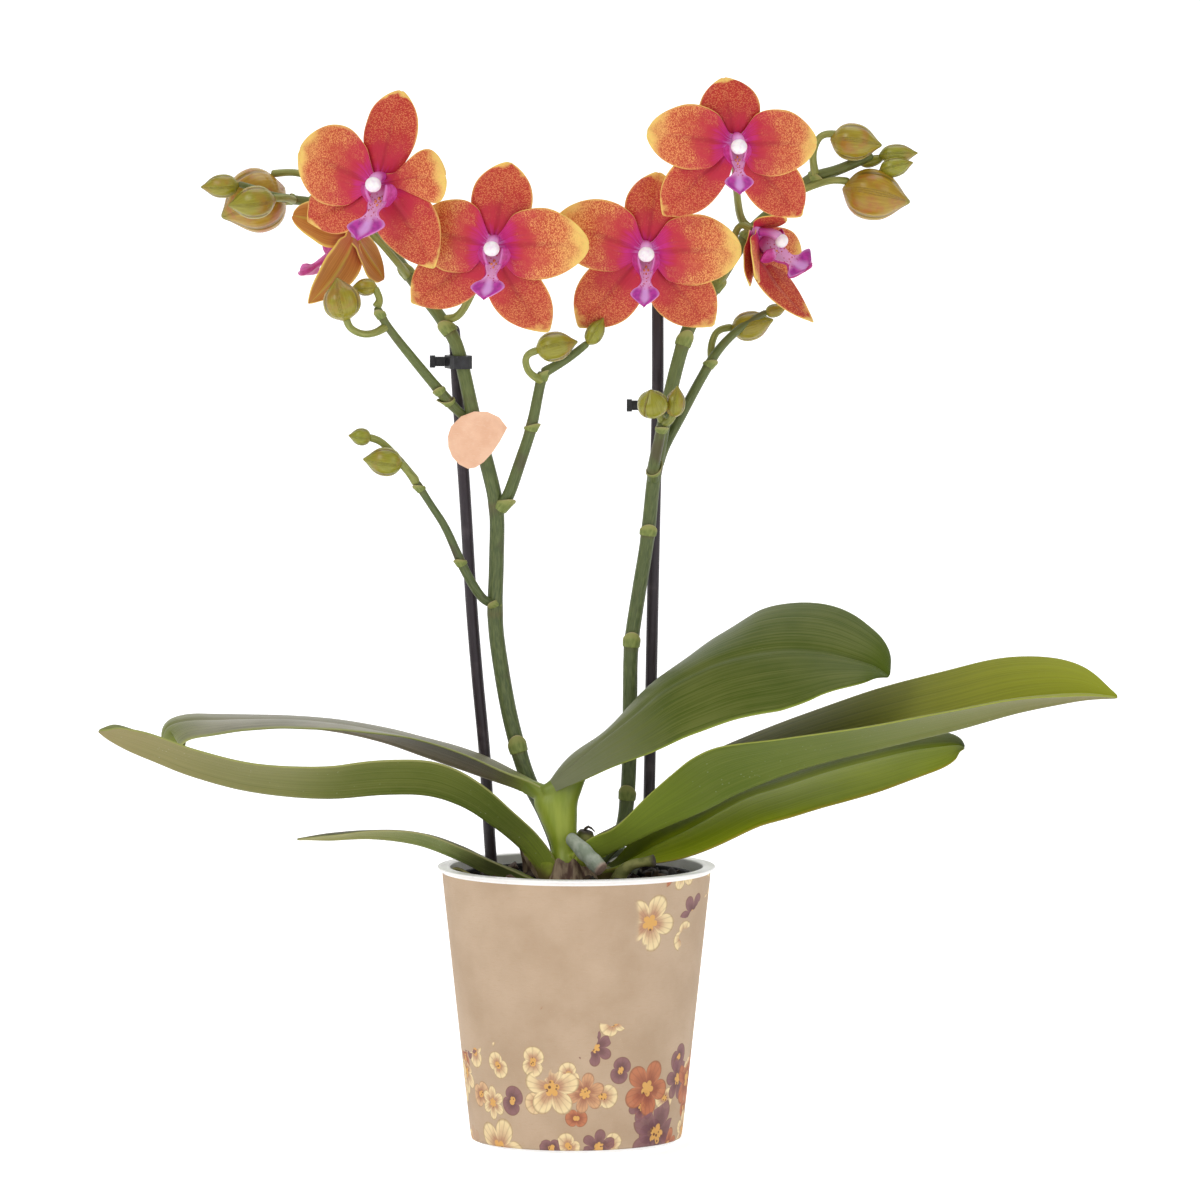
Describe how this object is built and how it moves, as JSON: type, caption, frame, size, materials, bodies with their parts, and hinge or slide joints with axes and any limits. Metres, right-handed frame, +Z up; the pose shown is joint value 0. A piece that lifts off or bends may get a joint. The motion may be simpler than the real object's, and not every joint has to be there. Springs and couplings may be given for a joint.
{
  "type": "potted moth orchid",
  "caption": "Moth orchid with two branched flower spikes on stakes, in a growing pot inside a paper-wrapped cover pot; a free-standing house plant.",
  "frame": {"origin": "centre of the cover pot's flat underside", "axes": "+Z up, -Y out of the front, which the open blooms face, +X to the front view's right"},
  "size_m": [0.3842, 0.1094, 0.41],
  "materials": {
    "cover_pot": "satin white plastic",
    "printed_paper": null,
    "growing_pot": "black moulded plastic",
    "bark": "coarse damp bark",
    "crown": "fresh leaf tissue, yellow-green",
    "dry_sheath": "dry papery leaf base",
    "aerial_root": "velvety grey-green root skin",
    "leaf": "waxy leaf",
    "spike": "waxy green stem and olive buds",
    "tepal": "soft petal, red speckle on yellow-orange",
    "lip": "magenta, waxy",
    "column": "white with a pink tinge",
    "stake": "dark coated stick",
    "clip": "black moulded plastic",
    "tag_card": "bare salmon-beige card"
  },
  "bodies": {
    "root": {"cover_pot": "cover_pot", "pot_wrap": "printed_paper", "growing_pot": "growing_pot", "bark_mix": "bark", "crown": "crown", "dry_sheath": "dry_sheath", "leaf_scrap": "dry_sheath", "root_front": "aerial_root", "root_left": "aerial_root", "root_right": "aerial_root", "old_spike_stub": "aerial_root", "leaf_scar_bud": "aerial_root", "leaf_long_left": "leaf", "leaf_upper_left": "leaf", "leaf_small_left": "leaf", "leaf_upper_right": "leaf", "leaf_long_right": "leaf", "leaf_lower_right": "leaf", "spike_left": "spike", "spike_right": "spike", "bloom_1_tepals": "tepal", "bloom_1_lip": "lip", "bloom_1_column": "column", "bloom_2_tepals": "tepal", "bloom_2_lip": "lip", "bloom_2_column": "column", "bloom_3_tepals": "tepal", "bloom_3_lip": "lip", "bloom_3_column": "column", "bloom_4_tepals": "tepal", "bloom_4_lip": "lip", "bloom_4_column": "column", "bloom_5_tepals": "tepal", "bloom_5_lip": "lip", "bloom_5_column": "column", "bloom_6_tepals": "tepal", "bloom_6_lip": "lip", "bloom_6_column": "column", "stake_left": "stake", "stake_right": "stake", "clip_left": "clip", "clip_right": "clip", "tag": "tag_card"}
  },
  "joints": []
}
